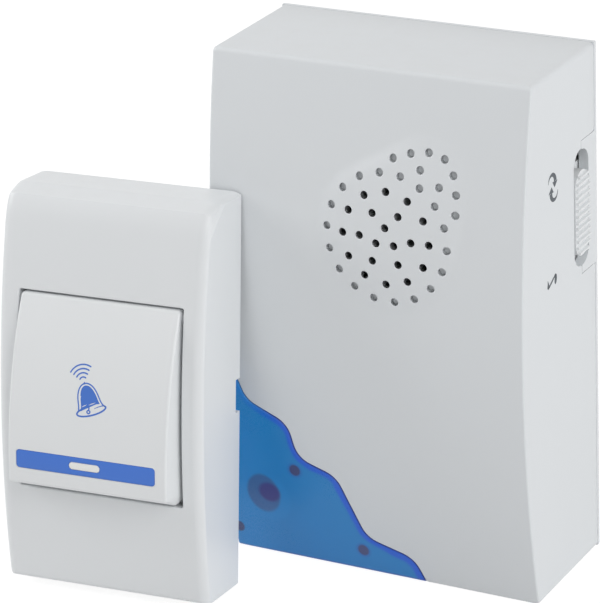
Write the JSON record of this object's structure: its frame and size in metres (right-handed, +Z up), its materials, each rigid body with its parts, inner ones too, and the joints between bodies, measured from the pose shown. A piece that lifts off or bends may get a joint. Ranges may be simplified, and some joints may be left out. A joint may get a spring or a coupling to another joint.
{
  "type": "wireless doorbell",
  "caption": "Battery chime receiver with domed perforated speaker grille and blue corner lens, and a slim push unit with a sprung rocker button leaning on it.",
  "frame": {"origin": "centre of the chime receiver's flat base", "axes": "+X to the receiver's right seen from its front, +Y to its back (wall side), +Z up"},
  "size_m": [0.0926, 0.0621, 0.095],
  "materials": {
    "chime_white": "fine satin",
    "push_white": "fine satin",
    "rocker_white": "satin",
    "knob_white": "satin",
    "blue_lens": "translucent",
    "strip_blue": "satin",
    "window_white": "translucent",
    "black_plastic": "matt",
    "plated_steel": "nickel plated",
    "magnet_grey": "matt",
    "cone_film": "satin film",
    "board_green": "solder mask",
    "copper_wire": "enamelled",
    "led_clear": "clear epoxy",
    "cell_jacket": "printed film"
  },
  "bodies": {
    "receiver": {"chime_front_shell": "chime_white", "corner_lens": "blue_lens", "chime_rear_cover": "chime_white", "aa_cells": "cell_jacket", "bridge_contact": "plated_steel", "terminal_contacts": "plated_steel", "battery_springs": "plated_steel", "case_screws": "plated_steel", "slide_switch_body": "plated_steel", "switch_board": "board_green", "speaker_frame": "plated_steel", "speaker_yoke": "plated_steel", "speaker_magnet": "magnet_grey", "speaker_pole_plate": "plated_steel", "speaker_diaphragm": "cone_film", "chime_circuit_board": "board_green", "melody_chip": "black_plastic", "chime_capacitors": "black_plastic", "receiver_module": "board_green", "tuning_coil": "copper_wire", "antenna_wire": "copper_wire", "chime_led": "led_clear"},
    "push_unit": {"push_front_shell": "push_white", "push_back_plate": "push_white", "push_circuit_board": "board_green", "tact_switch_body": "black_plastic", "push_led": "led_clear", "push_cell": "cell_jacket", "push_cell_contacts": "plated_steel", "push_cell_spring": "plated_steel", "encoder_chip": "black_plastic", "resonator_can": "plated_steel"},
    "rocker": {"push_rocker": "rocker_white", "indicator_strip": "strip_blue", "indicator_window": "window_white"},
    "plunger": {"tact_switch_plunger": "black_plastic"},
    "slider": {"slider_knob": "knob_white", "switch_lever": "black_plastic"},
    "battery_door": {"battery_door": "chime_white"}
  },
  "joints": [
    {"name": "push_unit_lift", "type": "slide", "parent": "receiver", "child": "push_unit", "axis": [0, 0, 1], "range_m": [0, 0.06]},
    {"name": "rocker_press", "type": "hinge", "parent": "push_unit", "child": "rocker", "pos_m": [-0.04112, -0.03565, 0.05335], "axis": [0.9957, 0.0924, 0], "range_deg": [0, 2], "stiffness_Nm_per_rad": 1.2, "springref_deg": -1.15},
    {"name": "plunger_slide", "type": "slide", "parent": "push_unit", "child": "plunger", "axis": [-0.0915, 0.9865, -0.1357], "range_m": [0, 0.0005]},
    {"name": "slider_slide", "type": "slide", "parent": "receiver", "child": "slider", "axis": [0, 0, 1], "range_m": [0, 0.002]},
    {"name": "battery_door_turn", "type": "hinge", "parent": "receiver", "child": "battery_door", "pos_m": [0, 0.01295, 0.0053], "axis": [-1, 0, 0], "range_deg": [0, 75]}
  ],
  "couplings": [
    {"joint": "plunger_slide", "follows": "rocker_press", "m_per_rad": 0.014}
  ]
}
